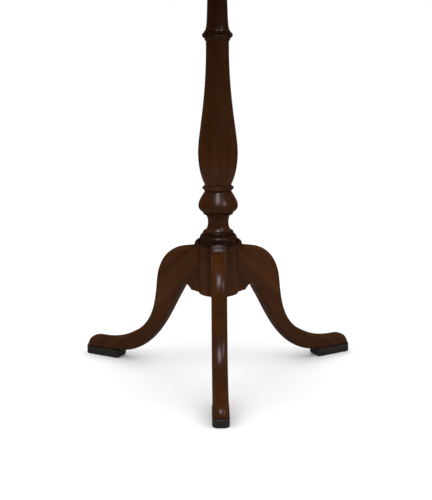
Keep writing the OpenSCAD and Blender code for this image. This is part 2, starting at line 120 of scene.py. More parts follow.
def makeFloor():
    bm = bmesh.new()
    bmesh.ops.create_circle(bm, cap_ends=True, radius=studio["floorRadius"], segments=96)
    mesh = bpy.data.meshes.new("floor")
    bm.to_mesh(mesh)
    bm.free()
    floor = bpy.data.objects.new("floor", mesh)
    bpy.context.scene.collection.objects.link(floor)
    material = bpy.data.materials.new("floor")
    material.use_nodes = True
    shader = material.node_tree.nodes["Principled BSDF"]
    shader.inputs["Base Color"].default_value = studio["floorColour"]
    shader.inputs["Roughness"].default_value = studio["floorRoughness"]
    shader.inputs["Specular IOR Level"].default_value = studio["floorGloss"]
    tree = material.node_tree  # the polish mirrors it faintly, and nothing shows of it from underneath
    geometry = tree.nodes.new("ShaderNodeNewGeometry")
    path = tree.nodes.new("ShaderNodeLightPath")
    faint = tree.nodes.new("ShaderNodeMath")
    faint.operation = "MULTIPLY_ADD"
    faint.use_clamp = True
    faint.inputs[1].default_value = studio["floorFaint"]
    clear = tree.nodes.new("ShaderNodeBsdfTransparent")
    mix = tree.nodes.new("ShaderNodeMixShader")
    tree.links.new(path.outputs["Is Glossy Ray"], faint.inputs[0])
    tree.links.new(geometry.outputs["Backfacing"], faint.inputs[2])
    tree.links.new(faint.outputs[0], mix.inputs["Fac"])
    tree.links.new(shader.outputs[0], mix.inputs[1])
    tree.links.new(clear.outputs[0], mix.inputs[2])
    tree.links.new(mix.outputs[0], tree.nodes["Material Output"].inputs["Surface"])
    mesh.materials.append(material)


def makeLights():
    sun = bpy.data.lights.new("sky", "SUN")
    sun.energy = studio["sunStrength"]
    sun.angle = math.radians(studio["sunSpread"])
    sky = bpy.data.objects.new("sky", sun)
    sky.visible_glossy = False
    bpy.context.scene.collection.objects.link(sky)
    middle = Vector(studio["lampsAim"])
    for name, placed in (studio["lamps"] | studio["fills"]).items():
        azimuth, elevation, distance, width, length, power, colour = placed
        data = bpy.data.lights.new(name, "AREA")
        data.shape = "RECTANGLE"
        data.size = width
        data.size_y = length
        data.energy = power
        data.color = colour
        lamp = bpy.data.objects.new(name, data)
        turn, rise = math.radians(azimuth), math.radians(elevation)
        out = Vector((math.cos(rise) * math.sin(turn), -math.cos(rise) * math.cos(turn), math.sin(rise)))
        lamp.location = middle + distance * out
        lamp.rotation_euler = (-out).to_track_quat("-Z", "Y").to_euler()
        lamp.visible_diffuse = name in studio["fills"]
        lamp.visible_glossy = name in studio["lamps"]
        bpy.context.scene.collection.objects.link(lamp)


def makeSurround():
    world = bpy.data.worlds.new("surround")
    bpy.context.scene.world = world
    world.use_nodes = True
    tree = world.node_tree
    tree.nodes.clear()
    path = tree.nodes.new("ShaderNodeLightPath")
    dim = tree.nodes.new("ShaderNodeBackground")
    dim.inputs["Color"].default_value = studio["surround"]
    white = tree.nodes.new("ShaderNodeBackground")
    mix = tree.nodes.new("ShaderNodeMixShader")
    output = tree.nodes.new("ShaderNodeOutputWorld")
    white.inputs["Color"].default_value = (1, 1, 1, 1)
    tree.links.new(path.outputs["Is Camera Ray"], mix.inputs["Fac"])
    tree.links.new(dim.outputs[0], mix.inputs[1])
    tree.links.new(white.outputs[0], mix.inputs[2])
    tree.links.new(mix.outputs[0], output.inputs["Surface"])


placeCamera()
makeFloor()
makeLights()
makeSurround()
bpy.context.scene.view_settings.view_transform = "Standard"
print("camera, floor and lights placed")


def add(tree, kind, inputs=None, **settings):
    node = tree.nodes.new("ShaderNode" + kind)
    for key, value in settings.items():
        setattr(node, key, value)
    for key, value in (inputs or {}).items():
        if isinstance(value, bpy.types.NodeSocket):
            tree.links.new(value, node.inputs[key])
        else:
            node.inputs[key].default_value = value
    return node


def maths(tree, operation, a, b=0.0):
    return add(tree, "Math", {0: a, 1: b}, operation=operation).outputs[0]


def remap(tree, value, low, high, toLow=0.0, toHigh=1.0):
    inputs = {"Value": value, "From Min": low, "From Max": high, "To Min": toLow, "To Max": toHigh}
    return add(tree, "MapRange", inputs, interpolation_type="SMOOTHSTEP").outputs["Result"]


def blendColour(tree, amount, a, b):
    return add(tree, "Mix", {0: amount, 6: a, 7: b}, data_type="RGBA").outputs[2]


def noise(tree, vector, stretch, detail, rough=0.5):  # stretch is how many features lie in a metre
    scaled = add(tree, "Mapping", {"Vector": vector, "Scale": stretch})
    inputs = {"Vector": scaled.outputs[0], "Scale": 1.0, "Detail": detail, "Roughness": rough}
    return add(tree, "TexNoise", inputs).outputs["Fac"]


def newGroup(name, inputs, outputs):
    kinds = {"float": "NodeSocketFloat", "colour": "NodeSocketColor", "vector": "NodeSocketVector"}
    group = bpy.data.node_groups.new(name, "ShaderNodeTree")
    for title, kind in inputs:
        group.interface.new_socket(title, in_out="INPUT", socket_type=kinds[kind])
    for title, kind in outputs:
        group.interface.new_socket(title, in_out="OUTPUT", socket_type=kinds[kind])
    start = group.nodes.new("NodeGroupInput")
    end = group.nodes.new("NodeGroupOutput")
    return group, start.outputs, end.inputs


def placeGroup(tree, group, inputs):
    node = tree.nodes.new("ShaderNodeGroup")
    node.node_tree = group
    for key, value in inputs.items():
        if isinstance(value, bpy.types.NodeSocket):
            tree.links.new(value, node.inputs[key])
        else:
            node.inputs[key].default_value = value
    return node.outputs


figure = {  # a mahogany plank: how many features lie in a metre, along and across the grain
    "ribbon": (5, 75, 75), "broad": (3, 16, 16), "fibres": (30, 900, 900), "pores": (110, 2200, 2200),
    "drift": 7.0, "sway": (0, 0.012, 0.012),  # the grain's wandering, and how far it goes in metres
    "heart": (0, 0.09, 0.14),  # metres from the tree's heart
    "ringScale": 26.0, "ringWarp": 1.6, "poreColour": (0.006, 0.003, 0.002, 1),
}


def buildGrain():
    # figure of a mahogany plank: x runs with the grain
    inputs = [("Vector", "vector"), ("Dark", "colour"), ("Middle", "colour"), ("Light", "colour")]
    inputs += [("Ribbon", "float"), ("Rings", "float"), ("Pores", "float")]
    outputs = [("Color", "colour"), ("Pore", "float"), ("Height", "float")]
    tree, given, out = newGroup("mahoganyGrain", inputs, outputs)
    drift = add(tree, "TexNoise", {"Vector": given["Vector"], "Scale": figure["drift"], "Detail": 2.0})
    centred = add(tree, "VectorMath", {0: drift.outputs["Color"], 1: (0.5, 0.5, 0.5)}, operation="SUBTRACT")
    pushed = add(tree, "VectorMath", {0: centred.outputs[0], 1: figure["sway"]}, operation="MULTIPLY")
    wavy = add(tree, "VectorMath", {0: given["Vector"], 1: pushed.outputs[0]}, operation="ADD").outputs[0]
    ribbon = noise(tree, wavy, figure["ribbon"], 2.0)
    broad = noise(tree, wavy, figure["broad"], 2.0)
    fibres = noise(tree, wavy, figure["fibres"], 4.0, 0.6)
    pores = noise(tree, wavy, figure["pores"], 2.0)
    aside = add(tree, "Mapping", {"Vector": wavy, "Location": figure["heart"]})
    growth = {"Vector": aside.outputs[0], "Scale": figure["ringScale"], "Distortion": figure["ringWarp"],
              "Detail": 3.0, "Detail Scale": 1.2}
    layers = add(tree, "TexWave", growth, wave_type="RINGS", rings_direction="X")
    ringMask = maths(tree, "MULTIPLY", layers.outputs["Fac"], given["Rings"])
    ribbonMask = maths(tree, "MULTIPLY", remap(tree, ribbon, 0.36, 0.66), given["Ribbon"])
    colour = blendColour(tree, remap(tree, broad, 0.3, 0.7), given["Dark"], given["Middle"])
    colour = blendColour(tree, ribbonMask, colour, given["Light"])
    colour = blendColour(tree, ringMask, colour, given["Dark"])
    colour = blendColour(tree, remap(tree, fibres, 0.35, 0.75, 0.0, 0.35), colour, given["Light"])
    poreMask = maths(tree, "MULTIPLY", remap(tree, pores, 0.6, 0.7), given["Pores"])
    colour = blendColour(tree, poreMask, colour, figure["poreColour"])
    tree.links.new(colour, out["Color"])
    tree.links.new(poreMask, out["Pore"])
    height = maths(tree, "SUBTRACT", maths(tree, "MULTIPLY", fibres, 0.35), poreMask)
    tree.links.new(height, out["Height"])
    return tree


handling = {"patches": (60, 60, 60), "smudges": (22, 22, 22)}  # how many in a metre


def buildWearAndHollows():
    # rubbed edges where hands and dusters have been, smudges, and a hollow mask from ambient occlusion of
    # the hollows and of where parts meet, with which the wood paints shade and the metal paints dirt
    inputs = [("Vector", "vector"), ("Edge width", "float"), ("Hollow depth", "float")]
    outputs = [("Edge", "float"), ("Hollow", "float"), ("Smudge", "float")]
    tree, given, out = newGroup("wearAndHollows", inputs, outputs)
    geometry = add(tree, "NewGeometry")
    rounded = add(tree, "Bevel", {"Radius": given["Edge width"]}, samples=4)
    facing = add(tree, "VectorMath", {0: rounded.outputs[0], 1: geometry.outputs["Normal"]},
                 operation="DOT_PRODUCT").outputs["Value"]
    patchy = noise(tree, given["Vector"], handling["patches"], 4.0, 0.6)
    edge = maths(tree, "MULTIPLY", remap(tree, facing, 0.995, 0.86), remap(tree, patchy, 0.35, 0.6))
    # the hollow mask marks where shade falls in hollows and between parts; the wood materials darken with
    # it as painted shade
    shade = add(tree, "AmbientOcclusion", {"Distance": given["Hollow depth"]}, samples=8)
    hollow = remap(tree, shade.outputs["AO"], 0.72, 0.15)
    tree.links.new(edge, out["Edge"])
    tree.links.new(hollow, out["Hollow"])
    smudge = noise(tree, given["Vector"], handling["smudges"], 5.0, 0.65)
    tree.links.new(smudge, out["Smudge"])
    return tree


marksPerMetre = {
    "longScratches": (120, 5200, 5200), "crossScratches": (4200, 160, 4200),
    "patches": (130, 130, 130), "pits": (1500, 1500, 1500),
}


def buildTarnish():
    # metal that has been handled: fine scratches, dull patches and small pits
    inputs = [("Vector", "vector"), ("Scratches", "float"), ("Patches", "float")]
    outputs = [("Scratch", "float"), ("Patch", "float"), ("Pit", "float"), ("Height", "float")]
    tree, given, out = newGroup("tarnish", inputs, outputs)
    long = noise(tree, given["Vector"], marksPerMetre["longScratches"], 3.0, 0.6)
    cross = noise(tree, given["Vector"], marksPerMetre["crossScratches"], 3.0, 0.6)
    lines = maths(tree, "MAXIMUM", remap(tree, long, 0.62, 0.72), remap(tree, cross, 0.64, 0.74))
    scratch = maths(tree, "MULTIPLY", lines, given["Scratches"])
    clouds = noise(tree, given["Vector"], marksPerMetre["patches"], 6.0, 0.62)
    patch = maths(tree, "MULTIPLY", remap(tree, clouds, 0.45, 0.68), given["Patches"])
    pit = remap(tree, noise(tree, given["Vector"], marksPerMetre["pits"], 2.0), 0.66, 0.76)
    tree.links.new(scratch, out["Scratch"])
    tree.links.new(patch, out["Patch"])
    tree.links.new(pit, out["Pit"])
    depth = maths(tree, "ADD", maths(tree, "MULTIPLY", scratch, 0.5), pit)
    tree.links.new(maths(tree, "MULTIPLY", depth, -1.0), out["Height"])
    return tree


grainGroup = buildGrain()
wearHollowGroup = buildWearAndHollows()
tarnishGroup = buildTarnish()


def newMaterial(name):
    material = bpy.data.materials.new(name)
    material.use_nodes = True
    return material, material.node_tree, material.node_tree.nodes["Principled BSDF"]


woodFinish = {
    "poreRough": 0.25, "grimeRough": 0.2,  # how much rougher the pores and the old wax are
    "grimeDull": 0.5,  # share of the polish that old wax hides
    "wavesPerMetre": (18, 30, 30), "relief": 0.15 * mm,
}


def woodMaterial(name, look):
    material, tree, shader = newMaterial(name)
    shader.inputs["Specular IOR Level"].default_value = look["specular"]
    shader.inputs["Coat Roughness"].default_value = look["coatRoughness"]
    grain = add(tree, "Attribute", attribute_name="grain").outputs["Vector"]
    wood = placeGroup(tree, grainGroup, {
        "Vector": grain, "Dark": look["dark"], "Middle": look["middle"], "Light": look["light"],
        "Ribbon": look["ribbon"], "Rings": look["rings"], "Pores": look["pores"]})
    wearHollow = placeGroup(tree, wearHollowGroup, {
        "Vector": grain, "Edge width": look["edgeWidth"], "Hollow depth": look["hollowDepth"]})
    wear = maths(tree, "MULTIPLY", wearHollow["Edge"], look["wear"])
    # painted shade: the hollow mask and the darkening bands turn the wood towards a near-black colour, and
    # the same mask dulls and roughens the polish as old wax
    darkBands = add(tree, "Attribute", attribute_name="darkening").outputs["Fac"]
    patchy = maths(tree, "MULTIPLY", darkBands, remap(tree, wearHollow["Smudge"], 0.2, 0.6, 0.75, 1.0))
    shadeAndWax = maths(tree, "MULTIPLY", maths(tree, "MAXIMUM", wearHollow["Hollow"], patchy), look["shadeAndWax"])
    colour = blendColour(tree, wear, wood["Color"], look["rubbed"])
    colour = blendColour(tree, shadeAndWax, colour, look["darkening"])
    tree.links.new(colour, shader.inputs["Base Color"])
    low, high = look["roughness"]
    rough = remap(tree, wearHollow["Smudge"], 0.3, 0.7, low, high)
    rough = maths(tree, "ADD", rough, maths(tree, "MULTIPLY", wood["Pore"], woodFinish["poreRough"]))
    rough = maths(tree, "ADD", rough, maths(tree, "MULTIPLY", shadeAndWax, woodFinish["grimeRough"]))
    tree.links.new(rough, shader.inputs["Roughness"])
    spare = maths(tree, "SUBTRACT", 1.0, maths(tree, "MULTIPLY", shadeAndWax, woodFinish["grimeDull"]))
    tree.links.new(maths(tree, "MULTIPLY", spare, look["coat"]), shader.inputs["Coat Weight"])
    waves = maths(tree, "MULTIPLY", noise(tree, grain, woodFinish["wavesPerMetre"], 1.0), look["waves"])
    height = maths(tree, "ADD", wood["Height"], waves)
    bump = add(tree, "Bump", {"Strength": look["bump"], "Distance": woodFinish["relief"], "Height": height})
    tree.links.new(bump.outputs[0], shader.inputs["Normal"])
    return material


polished = {
    "dark": (0.037, 0.0098, 0.0013, 1), "middle": (0.058, 0.0165, 0.002, 1),
    "light": (0.098, 0.033, 0.0062, 1), "rubbed": (0.14, 0.058, 0.017, 1),
    # the last colour is the near-black of the painted shade in the hollows and bands
    "darkening": (0.006, 0.0032, 0.002, 1),
    "ribbon": 0.34, "rings": 0.22, "pores": 0.6,
    "wear": 0.35, "shadeAndWax": 0.9, "edgeWidth": 0.0022, "hollowDepth": 0.026,
    "roughness": (0.36, 0.5), "specular": 0.03, "coat": 0.4, "coatRoughness": 0.26,
    "bump": 0.25, "waves": 1.2,
}
# unpolished wood for the underside, its colours lightened as painted light because little light reaches
# there; its last colour is the near-black of the painted shade in the hollows
undersideLightened = {
    "dark": (0.085, 0.036, 0.016, 1), "middle": (0.14, 0.062, 0.028, 1),
    "light": (0.22, 0.108, 0.052, 1), "rubbed": (0.29, 0.155, 0.08, 1), "darkening": (0.012, 0.008, 0.006, 1),
    "ribbon": 0.5, "rings": 0.35, "pores": 0.8,
    "wear": 0.3, "shadeAndWax": 0.8, "edgeWidth": 0.002, "hollowDepth": 0.012,
    "roughness": (0.5, 0.68), "specular": 0.35, "coat": 0.08, "coatRoughness": 0.4,
    "bump": 0.5, "waves": 0.8,
}
# near-black wood for the foot pads; its last colour is the near-black of the painted shade in the hollows
nearBlack = {
    "dark": (0.009, 0.007, 0.0055, 1), "middle": (0.015, 0.011, 0.008, 1),
    "light": (0.03, 0.02, 0.013, 1), "rubbed": (0.1, 0.055, 0.028, 1), "darkening": (0.005, 0.004, 0.0035, 1),
    "ribbon": 0.4, "rings": 0.2, "pores": 0.4,
    "wear": 0.8, "shadeAndWax": 0.6, "edgeWidth": 0.0016, "hollowDepth": 0.006,
    "roughness": (0.38, 0.6), "specular": 0.35, "coat": 0.25, "coatRoughness": 0.25,
    "bump": 0.6, "waves": 0.8,
}
metalFinish = {
    "gloss": 0.5, "relief": 0.08 * mm,
    "hollowDepth": 0.003, "hollowShade": 0.8,  # dirt in the corners
    "patchRough": 0.25, "rubSmooth": 0.12,
}


def metalMaterial(name, look):
    material, tree, shader = newMaterial(name)
    shader.inputs["Specular IOR Level"].default_value = metalFinish["gloss"]
    place = add(tree, "TexCoord").outputs["Object"]
    marks = placeGroup(tree, tarnishGroup, {
        "Vector": place, "Scratches": look["scratches"], "Patches": look["patches"]})
    wearHollow = placeGroup(tree, wearHollowGroup, {
        "Vector": place, "Edge width": look["edgeWidth"], "Hollow depth": metalFinish["hollowDepth"]})
    colour = blendColour(tree, marks["Patch"], look["colour"], look["dull"])
    pitted = maths(tree, "MULTIPLY", marks["Pit"], look["pits"])
    colour = blendColour(tree, pitted, colour, look["pitColour"])
    dirty = maths(tree, "MULTIPLY", wearHollow["Hollow"], metalFinish["hollowShade"])
    colour = blendColour(tree, dirty, colour, look["pitColour"])
    bright = maths(tree, "MULTIPLY", maths(tree, "MAXIMUM", marks["Scratch"], wearHollow["Edge"]), look["rub"])
    colour = blendColour(tree, bright, colour, look["bright"])
    tree.links.new(colour, shader.inputs["Base Color"])
    low, high = look["roughness"]
    rough = remap(tree, wearHollow["Smudge"], 0.3, 0.7, low, high)
    rough = maths(tree, "ADD", rough, maths(tree, "MULTIPLY", marks["Patch"], metalFinish["patchRough"]))
    rough = maths(tree, "SUBTRACT", rough, maths(tree, "MULTIPLY", bright, metalFinish["rubSmooth"]))
    tree.links.new(rough, shader.inputs["Roughness"])
    dulled = maths(tree, "MULTIPLY", marks["Patch"], look["crust"])
    tree.links.new(maths(tree, "SUBTRACT", 1.0, dulled), shader.inputs["Metallic"])
    bump = add(tree, "Bump", {
        "Strength": look["bump"], "Distance": metalFinish["relief"], "Height": marks["Height"]})
    tree.links.new(bump.outputs[0], shader.inputs["Normal"])
    return material


brassLook = {
    "colour": (0.62, 0.42, 0.16, 1), "dull": (0.36, 0.22, 0.08, 1), "bright": (0.82, 0.64, 0.34, 1),
    "pitColour": (0.07, 0.045, 0.025, 1), "scratches": 0.5, "patches": 0.75, "pits": 0.6, "rub": 0.7,
    "roughness": (0.24, 0.4), "crust": 0.6, "edgeWidth": 0.0006, "bump": 0.35,
}
steelLook = {
    "colour": (0.33, 0.32, 0.31, 1), "dull": (0.14, 0.085, 0.055, 1), "bright": (0.62, 0.61, 0.6, 1),
    "pitColour": (0.05, 0.03, 0.02, 1), "scratches": 0.6, "patches": 0.6, "pits": 0.7, "rub": 0.7,
    "roughness": (0.3, 0.48), "crust": 0.6, "edgeWidth": 0.0005, "bump": 0.4,
}
ironLook = {
    "colour": (0.05, 0.048, 0.047, 1), "dull": (0.085, 0.04, 0.022, 1), "bright": (0.2, 0.19, 0.185, 1),
    "pitColour": (0.02, 0.015, 0.012, 1), "scratches": 0.35, "patches": 0.55, "pits": 0.8, "rub": 0.6,
    "roughness": (0.45, 0.62), "crust": 0.7, "edgeWidth": 0.0008, "bump": 0.9,
}

mahoganyPolish = woodMaterial("mahoganyPolish", polished)
mahoganyUndersidePaintedLight = woodMaterial("mahoganyUndersidePaintedLight", undersideLightened)
nearBlackWood = woodMaterial("nearBlackWood", nearBlack)
agedBrass = metalMaterial("agedBrass", brassLook)
dullSteel = metalMaterial("dullSteel", steelLook)
blackIron = metalMaterial("blackIron", ironLook)
print("materials made")


def bezier(a, b, c, d, steps):
    points = []
    for i in range(steps + 1):
        t = i / steps
        s = 1 - t
        w = (s * s * s, 3 * s * s * t, 3 * s * t * t, t * t * t)
        points.append(tuple(w[0] * a[k] + w[1] * b[k] + w[2] * c[k] + w[3] * d[k] for k in (0, 1)))
    return points


def arc(centre, r, start, end, steps):  # from start to end in degrees
    turns = [math.radians(start + (end - start) * i / steps) for i in range(steps + 1)]
    return [(centre[0] + r * math.cos(w), centre[1] + r * math.sin(w)) for w in turns]


def resample(path, count):  # the same path in equal steps
    lengths = [0]
    for a, b in zip(path, path[1:]):
        lengths.append(lengths[-1] + math.dist(a, b))
    points = []
    k = 0
    for i in range(count + 1):
        goal = lengths[-1] * i / count
        while k < len(path) - 2 and lengths[k + 1] < goal:
            k += 1
        share = (goal - lengths[k]) / max(lengths[k + 1] - lengths[k], 1e-9)
        points.append(tuple(p + (q - p) * min(share, 1) for p, q in zip(path[k], path[k + 1])))
    return points


def makeObject(name, bm):
    bmesh.ops.recalc_face_normals(bm, faces=bm.faces)
    mesh = bpy.data.meshes.new(name)
    bm.to_mesh(mesh)
    bm.free()
    piece = bpy.data.objects.new(name, mesh)
    bpy.context.scene.collection.objects.link(piece)
    return piece


def carve(piece, cutter, operation="DIFFERENCE"):
    modifier = piece.modifiers.new("carve", "BOOLEAN")
    modifier.object = cutter
    modifier.operation = operation
    modifier.solver = "EXACT"
    settled = piece.evaluated_get(bpy.context.evaluated_depsgraph_get())
    mesh = bpy.data.meshes.new_from_object(settled)
    piece.modifiers.clear()
    piece.data = mesh
    bpy.data.objects.remove(cutter)


def dress(piece, node, material, sharp=35):
    piece.data.shade_smooth()
    piece.data.set_sharp_from_angle(angle=math.radians(sharp))
    piece.data.materials.clear()
    piece.data.materials.append(material)
    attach(piece, next(body for body, members in bodies.items() if node in members))
    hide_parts(node)


def setGrain(piece, along, offset):
    # a point's place in its plank: x runs with the grain, which is the direction "along" in the frame
    x = Vector(along).normalized()
    side = Vector((0, 0, 1)) if abs(x.z) < 0.8 else Vector((0, 1, 0))
    y = side.cross(x).normalized()
    turn = Matrix((x, y, x.cross(y)))
    grain = piece.data.attributes.new("grain", "FLOAT_VECTOR", "POINT")
    values = []
    for vertex in piece.data.vertices:
        values.extend(turn @ vertex.co + Vector(offset))
    grain.data.foreach_set("vector", values)


def setDarkening(piece, bands):
    # bands that darken the wood, mostly painted shade: from and to in mm of height, how much, and the
    # length of its fading
    darkening = piece.data.attributes.new("darkening", "FLOAT", "POINT")
    for vertex, place in zip(piece.data.vertices, darkening.data):
        z = vertex.co.z / mm
        place.value = max(amount * min(max((z - low) / fade, 0), max((high - z) / fade, 0), 1)
                          for low, high, amount, fade in bands)


def lathe(bm, profile, steps=128):  # profile of (radius, height) in mm, from the bottom up, round Z
    rings = []
    for r, z in profile:
        if r < 1e-6:
            rings.append([bm.verts.new((0, 0, z * mm))])
            continue
        turns = [2 * math.pi * k / steps for k in range(steps)]
        rings.append([bm.verts.new((r * mm * math.cos(w), r * mm * math.sin(w), z * mm)) for w in turns])
    for low, high in zip(rings, rings[1:]):
        for k in range(steps):
            m = (k + 1) % steps
            loop = [low[k % len(low)], low[m % len(low)], high[m % len(high)], high[k % len(high)]]
            corners = list(dict.fromkeys(loop))
            if len(corners) > 2:
                bm.faces.new(corners)


def loft(bm, rings):  # rings of points in metres, each ring with the same count
    rows = [[bm.verts.new(p) for p in ring] for ring in rings]
    count = len(rows[0])
    for low, high in zip(rows, rows[1:]):
        for k in range(count):
            m = (k + 1) % count
            bm.faces.new((low[k], low[m], high[m], high[k]))
    bm.faces.new(list(reversed(rows[0])))
    bm.faces.new(rows[-1])


def prism(name, outline, low, high, turn):  # outline in mm in plan, upright between two heights
    bm = bmesh.new()
    loft(bm, [[(x * mm, y * mm, z * mm) for x, y in outline] for z in (low, high)])
    bmesh.ops.rotate(bm, verts=bm.verts, matrix=Matrix.Rotation(turn, 3, "Z"))
    return makeObject(name, bm)


def softened(name, node, width, sharp=28):
    # a CAD piece's copy with its arrises taken off: width in mm, and sharp in degrees says what is an arris
    bm = bmesh.new()
    bm.from_mesh(frame["nodes"][node].data)
    bmesh.ops.remove_doubles(bm, verts=bm.verts, dist=0.002 * mm)
    bmesh.ops.dissolve_limit(bm, angle_limit=math.radians(1), verts=bm.verts, edges=bm.edges)
    limit = math.radians(sharp)
    arrises = [e for e in bm.edges if len(e.link_faces) == 2 and e.calc_face_angle() > limit]
    bmesh.ops.bevel(bm, geom=arrises, offset=width * mm, segments=3, profile=0.5, affect="EDGES",
                    clamp_overlap=True)
    piece = makeObject(name, bm)
    for layer in ("custom_normal", "sharp_edge", "sharp_face"):
        if layer in piece.data.attributes:
            piece.data.attributes.remove(piece.data.attributes[layer])
    return piece


pillar = {  # in mm
    "drumRadius": 30, "drumHeight": 75.5, "neckRadius": 15.7, "ballRadius": 29.5, "vaseRadius": 29.4,
    "ringRadius": 23.5, "waistRadius": 19.5, "shaftRadius": 16.8, "collarRadius": 22.4,
    "shaftTopRadius": 14, "capitalRadius": 22, "tenonRadius": 13,
    # heights as shares of the turned length above the drum
    "neckAt": 0.072, "ballAt": 0.129, "ringAt": 0.187, "vaseAt": 0.302, "collarAt": 0.677,
    "tailLength": 14, "tailNeck": 12, "tailRoot": 17, "tailHeight": 62, "glue": 0.1,
    "tailReach": 2,  # how far the tail's outline runs on into the leg
    "kerfTop": 3, "kerfFoot": 1, "footRound": 1.5, "tenonRound": 0.5,
    "plank": (0.3, 0.02, 0.11),  # metres, its place in the grain
    # bands of painted shade in the mouldings, the neck, and under the ball, ring and block, and a shade
    # that deepens up the shaft towards the top: from and to in mm past a named height, how much, and the
    # length of its fading
    "darkening": (
        (("drum", -3), ("drum", 23), 0.82, 2.5), (("neck", 10), ("ball", -5), 0.45, 2),
        (("ring", -5), ("ring", 5), 0.35, 2), (("collar", -8), ("collar", 9), 0.45, 2.5),
        (("block", -20), ("block", -5), 0.4, 2.5), (("drum", 20), ("ball", -6), 0.14, 5),
        (("ball", -10), ("ring", 0), 0.25, 4), (("vase", -8), ("block", 50), 0.2, 30),
    ),
}
legTurns = {"front": -90, "right": 30, "left": 150}
drumFoot = lowest("pillar", 2)
drumTop = drumFoot + pillar["drumHeight"]
blockFoot = lowest("block", 2)
tenonTop = highest("pillar", 2)


def footMoulding(r, z):  # hollow, torus and bead that crown the drum
    return (
        [(r, z - 1.6), (r - 0.5, z - 1.2), (r - 2.2, z - 0.5), (r - 3, z + 0.6), (r - 3.2, z + 2)]
        + arc((r - 4.2, z + 4.3), 2, -80, 80, 12)
        + [(r - 3.7, z + 6.6)]
        + arc((r - 9.5, z + 9.2), 7.5, -18, 68, 20)
        + arc((r - 9.2, z + 18.6), 2.1, -66, 80, 12)
    )


def neckCurve(r, neck, z, neckZ):  # hollow neck, then a thin fillet under the ball
    return (
        bezier((r - 10.6, z + 21.6), (neck - 1.8, neckZ - 6), (neck - 1.4, neckZ + 6.5),
               (neck + 2.8, neckZ + 12.2), 28)
        + [(neck + 5, neckZ + 13)]
        + arc((neck + 5.4, neckZ + 14.6), 1.3, -70, 70, 8)
    )


def ballCurve(neck, ball, waist, z, ringZ):  # full at the foot and drawn in to the ring
    return (
        bezier((neck + 6.2, z - 9.6), (ball - 3.4, z - 8.4), (ball, z - 5), (ball, z), 14)
        + bezier((ball, z), (ball, z + 7.3), (ball - 7, z + 16.3), (waist, ringZ - 4.4), 22)[1:]
    )


def vaseCurve(waist, vase, shaft, ringZ, z, collarZ, length):
    lower = bezier((waist - 0.1, ringZ + 4.6), (waist + 4.7, ringZ + 13), (vase - 0.1, ringZ + 30),
                   (vase, z), 28)
    upper = bezier((vase, z), (vase, z + 0.063 * length), (shaft - 0.3, z + 0.167 * length),
                   (shaft, collarZ - 12), 40)
    return lower + upper[1:]


def collarCurve(shaft, collar, top, z):  # two fillets, the bead, and the foot of the thin upper shaft
    return (
        [(shaft + 0.2, z - 8), (collar - 3.9, z - 7.6), (collar - 3.8, z - 5.2), (collar - 2.6, z - 4)]
        + arc((collar - 4.2, z), 4.2, -60, 66, 16)
        + [(collar - 3.2, z + 4.2), (collar - 3.2, z + 5.8)]
        + bezier((collar - 3.9, z + 6.2), (top + 1.6, z + 9.3), (top + 1.3, z + 22.8),
                 (top + 0.6, z + 48), 26)
    )


def capitalCurve(top, wide, z):  # a bead and an ogee under the block
    return (
        bezier((top, z - 42), (top, z - 30), (top + 0.6, z - 21), (wide - 4, z - 17), 16)
        + [(wide - 3, z - 17)]
        + arc((wide - 3.4, z - 13.4), 3, -70, 70, 12)
        + [(wide - 3, z - 9.8), (wide - 3, z - 8.4)]
        + bezier((wide - 3, z - 8.4), (wide - 2.2, z - 5), (wide, z - 4.6), (wide, z - 2), 8)
        + [(wide, z - 0.4), (wide - 0.4, z)]
    )


def tailOutline(gap):
    reach = pillar["tailReach"]
    slope = (pillar["tailRoot"] - pillar["tailNeck"]) / 2 / pillar["tailLength"]
    inner = pillar["drumRadius"] - pillar["tailLength"] - gap
    root = pillar["tailRoot"] / 2 + gap
    neck = pillar["tailNeck"] / 2 - slope * reach + gap
    outer = pillar["drumRadius"] + reach
    return [(inner, -root), (outer, -neck), (outer, neck), (inner, root)]


